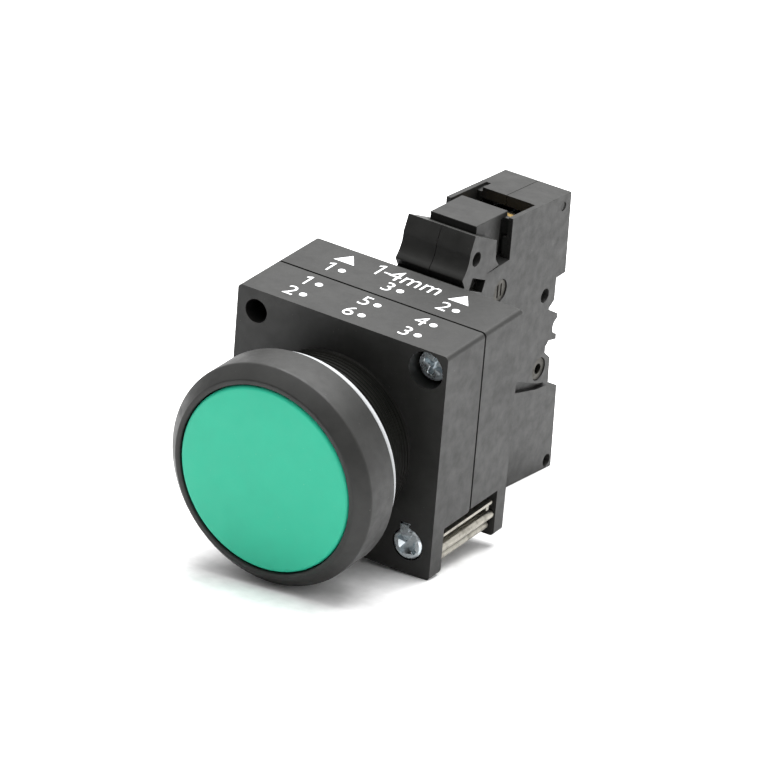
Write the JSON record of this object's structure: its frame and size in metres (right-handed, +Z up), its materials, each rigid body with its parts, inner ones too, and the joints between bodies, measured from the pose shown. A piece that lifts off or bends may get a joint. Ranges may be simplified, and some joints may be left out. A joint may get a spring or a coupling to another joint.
{
  "type": "industrial push button",
  "caption": "Flush green push button in a round black bezel, with a panel holder, panel clamps and a clip-on screw-terminal contact block.",
  "frame": {"origin": "on the button's axis, in the plane of the panel's front face, which is also the gasket's rear face and the start of the neck", "axes": "+Y runs along the button's axis into the panel, +Z is up, +X is to the right for someone facing the button"},
  "size_m": [0.03, 0.0614, 0.042],
  "materials": {
    "black_plastic": "fine matt moulded black",
    "dark_plastic": "satin dark grey",
    "green_plastic": "satin green",
    "light_plastic": "natural",
    "red_plastic": "moulded red",
    "black_rubber": "matt",
    "pale_gasket": "matt pale",
    "spring_steel": "drawn wire",
    "zinc_steel": "bright bluish zinc plate",
    "zinc_casting": "bare cast zinc, dull",
    "dark_rivet": "dark plated",
    "brass_strip": "rolled strip",
    "silver_tip": "silver alloy"
  },
  "bodies": {
    "actuator": {"bezel": "black_plastic", "lip_seal": "black_rubber", "panel_gasket": "pale_gasket", "neck_sleeve": "dark_plastic", "spring_seat": "black_plastic", "return_spring": "spring_steel"},
    "button": {"button_cap": "green_plastic", "button_plunger": "light_plastic"},
    "holder": {"holder_front": "black_plastic", "holder_rear": "black_plastic", "fixing_screw": "zinc_steel", "clamp_insert_right": "zinc_casting", "clamp_insert_left": "zinc_casting"},
    "foot_right": {"pressure_foot_right": "zinc_steel"},
    "screw_right": {"clamp_screw_right": "zinc_steel"},
    "foot_left": {"pressure_foot_left": "zinc_steel"},
    "screw_left": {"clamp_screw_left": "zinc_steel"},
    "block": {"block_shell_right": "black_plastic", "block_shell_left": "black_plastic", "block_rivets": "dark_rivet", "terminal_box": "black_plastic", "fixed_contact_upper": "brass_strip", "fixed_contact_lower": "brass_strip", "fixed_tips": "silver_tip", "tappet_spring": "spring_steel"},
    "tappet": {"contact_tappet": "red_plastic", "contact_spring": "spring_steel"},
    "bridge": {"contact_bridge": "brass_strip", "bridge_tips": "silver_tip"},
    "wire_screw_upper": {"terminal_screw_upper": "zinc_steel"},
    "wire_cage_upper": {"terminal_yoke_upper": "zinc_steel"},
    "wire_screw_lower": {"terminal_screw_lower": "zinc_steel"},
    "wire_cage_lower": {"terminal_yoke_lower": "zinc_steel"}
  },
  "joints": [
    {"name": "button_press", "type": "slide", "parent": "actuator", "child": "button", "axis": [0, 1, 0], "range_m": [0, 0.004], "stiffness_N_per_m": 900, "springref_m": -0.003, "deforming": ["return_spring"]},
    {"name": "holder_pull", "type": "slide", "parent": "actuator", "child": "holder", "axis": [0, 1, 0], "range_m": [0, 0.045]},
    {"name": "clamp_foot_right", "type": "slide", "parent": "holder", "child": "foot_right", "axis": [0, -1, 0], "range_m": [0, 0.0062]},
    {"name": "clamp_turn_right", "type": "hinge", "parent": "foot_right", "child": "screw_right", "pos_m": [0.0116, 0.016, -0.0109], "axis": [0, -1, 0], "range_deg": [0, 3200]},
    {"name": "clamp_foot_left", "type": "slide", "parent": "holder", "child": "foot_left", "axis": [0, -1, 0], "range_m": [0, 0.0062]},
    {"name": "clamp_turn_left", "type": "hinge", "parent": "foot_left", "child": "screw_left", "pos_m": [-0.0116, 0.016, -0.0109], "axis": [0, -1, 0], "range_deg": [0, 3200]},
    {"name": "block_unclip", "type": "slide", "parent": "holder", "child": "block", "axis": [0, 1, 0], "range_m": [0, 0.02]},
    {"name": "contact_press", "type": "slide", "parent": "block", "child": "tappet", "axis": [0, 1, 0], "range_m": [0, 0.0041], "stiffness_N_per_m": 200, "springref_m": -0.004, "deforming": ["tappet_spring"]},
    {"name": "bridge_lift", "type": "slide", "parent": "block", "child": "bridge", "axis": [0, 1, 0], "range_m": [0, 0.00239], "deforming": ["contact_spring"]},
    {"name": "terminal_turn_upper", "type": "hinge", "parent": "block", "child": "wire_screw_upper", "pos_m": [0, 0.048, 0.013], "axis": [0, -1, 0], "range_deg": [0, 1160]},
    {"name": "terminal_cage_upper", "type": "slide", "parent": "block", "child": "wire_cage_upper", "axis": [0, 1, 0], "range_m": [0, 0.0016]},
    {"name": "terminal_turn_lower", "type": "hinge", "parent": "block", "child": "wire_screw_lower", "pos_m": [0, 0.048, -0.014], "axis": [0, -1, 0], "range_deg": [0, 1160]},
    {"name": "terminal_cage_lower", "type": "slide", "parent": "block", "child": "wire_cage_lower", "axis": [0, 1, 0], "range_m": [0, 0.0016]}
  ],
  "couplings": [
    {"joint": "contact_press", "follows": "button_press", "ratio": 1},
    {"joint": "bridge_lift", "follows": "button_press", "ratio": 0.595},
    {"joint": "clamp_turn_right", "follows": "clamp_foot_right", "rad_per_m": 8976},
    {"joint": "clamp_turn_left", "follows": "clamp_foot_left", "rad_per_m": 8976},
    {"joint": "terminal_turn_upper", "follows": "terminal_cage_upper", "rad_per_m": 12566},
    {"joint": "terminal_turn_lower", "follows": "terminal_cage_lower", "rad_per_m": 12566}
  ]
}
